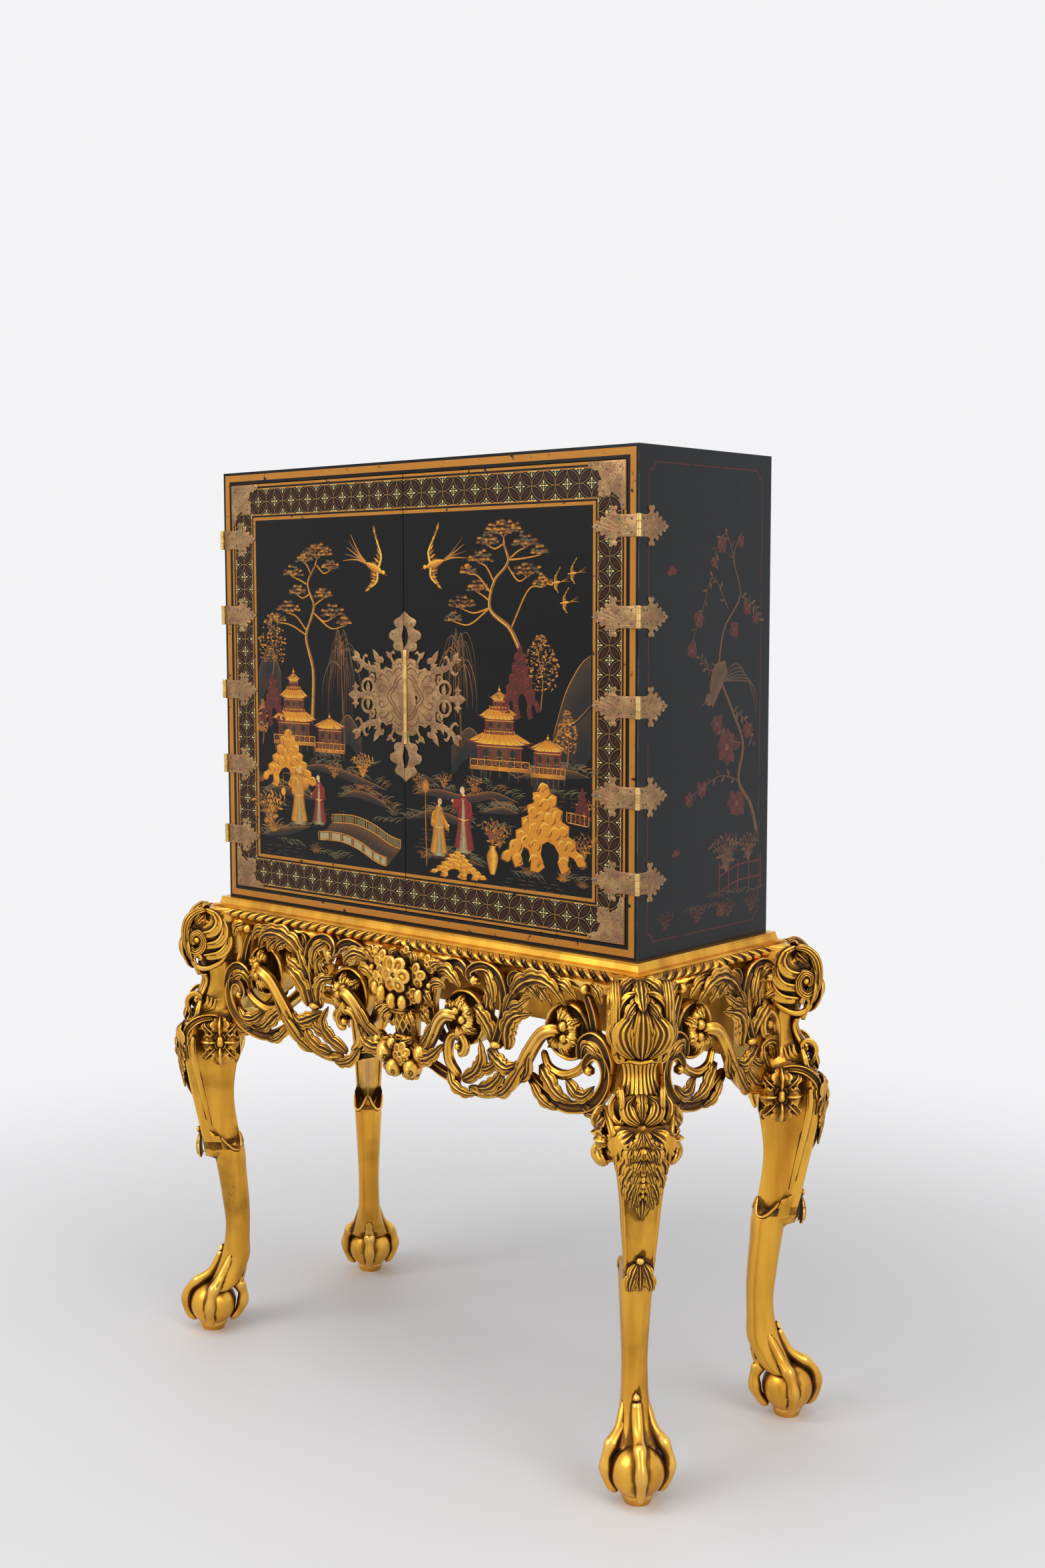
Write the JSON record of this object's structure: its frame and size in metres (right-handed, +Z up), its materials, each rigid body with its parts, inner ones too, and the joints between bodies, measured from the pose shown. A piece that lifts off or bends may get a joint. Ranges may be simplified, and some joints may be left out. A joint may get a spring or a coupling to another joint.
{
  "type": "lacquer cabinet on stand",
  "caption": "Black lacquer cabinet with two hinged doors, brass strap hinges and lock plate, on a carved and gilded stand with cabriole legs and ball feet.",
  "frame": {"origin": "on the floor under the middle of the stand", "axes": "+X to the viewer's right of the front, +Y to the back, +Z up"},
  "size_m": [1.1886, 0.5546, 1.654],
  "materials": {
    "gilt_wood": "worn burnished gold leaf",
    "black_lacquer": "polished lacquer",
    "inside_wood": "waxed",
    "brass": "aged, engraved",
    "steel": "dull"
  },
  "bodies": {
    "stand_and_case": {"case_top": "black_lacquer", "case_bottom": "black_lacquer", "case_side_right": "black_lacquer", "case_side_left": "black_lacquer", "case_back": "black_lacquer", "shelf_lower": "inside_wood", "shelf_upper": "inside_wood", "shelf_battens": "inside_wood", "door_stops": "inside_wood", "hinge_side_leaves_right": "brass", "hinge_side_leaves_left": "brass", "hinge_pins_right": "brass", "hinge_pins_left": "brass", "cavetto_front": "gilt_wood", "cavetto_back": "gilt_wood", "cavetto_right": "gilt_wood", "cavetto_left": "gilt_wood", "gadroon_front": "gilt_wood", "gadroon_right": "gilt_wood", "gadroon_left": "gilt_wood", "frieze_strip_back": "gilt_wood", "cross_bearers": "inside_wood", "apron_front": "gilt_wood", "apron_right": "gilt_wood", "apron_left": "gilt_wood", "apron_back": "gilt_wood", "flower_basket": "gilt_wood", "leg_front_right": "gilt_wood", "leg_front_left": "gilt_wood", "leg_back_right": "gilt_wood", "leg_back_left": "gilt_wood"},
    "left_door": {"door_left": "black_lacquer", "hinge_strap_left_1": "brass", "hinge_strap_left_2": "brass", "hinge_strap_left_3": "brass", "hinge_strap_left_4": "brass", "hinge_strap_left_5": "brass", "corner_plate_left_upper": "brass", "corner_plate_left_lower": "brass", "lock_plate_left": "brass", "lock_keep": "steel", "bolt_guide_upper": "steel", "bolt_guide_lower": "steel"},
    "right_door": {"door_right": "black_lacquer", "hinge_strap_right_1": "brass", "hinge_strap_right_2": "brass", "hinge_strap_right_3": "brass", "hinge_strap_right_4": "brass", "hinge_strap_right_5": "brass", "corner_plate_right_upper": "brass", "corner_plate_right_lower": "brass", "lock_plate_right": "brass", "seam_bar": "brass", "lock_case": "steel"},
    "lock_bolt": {"lock_bolt": "steel"},
    "upper_bolt": {"bolt_rod_upper": "steel"},
    "lower_bolt": {"bolt_rod_lower": "steel"}
  },
  "joints": [
    {"name": "right_door_hinge", "type": "hinge", "parent": "stand_and_case", "child": "right_door", "pos_m": [0.498, -0.181, 1.254], "axis": [0, 0, 1], "range_deg": [0, 180]},
    {"name": "left_door_hinge", "type": "hinge", "parent": "stand_and_case", "child": "left_door", "pos_m": [-0.498, -0.181, 1.254], "axis": [0, 0, -1], "range_deg": [0, 180]},
    {"name": "lock_bolt_slide", "type": "slide", "parent": "right_door", "child": "lock_bolt", "axis": [-1, 0, 0], "range_m": [0, 0.018]},
    {"name": "upper_bolt_slide", "type": "slide", "parent": "left_door", "child": "upper_bolt", "axis": [0, 0, 1], "range_m": [0, 0.014]},
    {"name": "lower_bolt_slide", "type": "slide", "parent": "left_door", "child": "lower_bolt", "axis": [0, 0, -1], "range_m": [0, 0.014]}
  ]
}
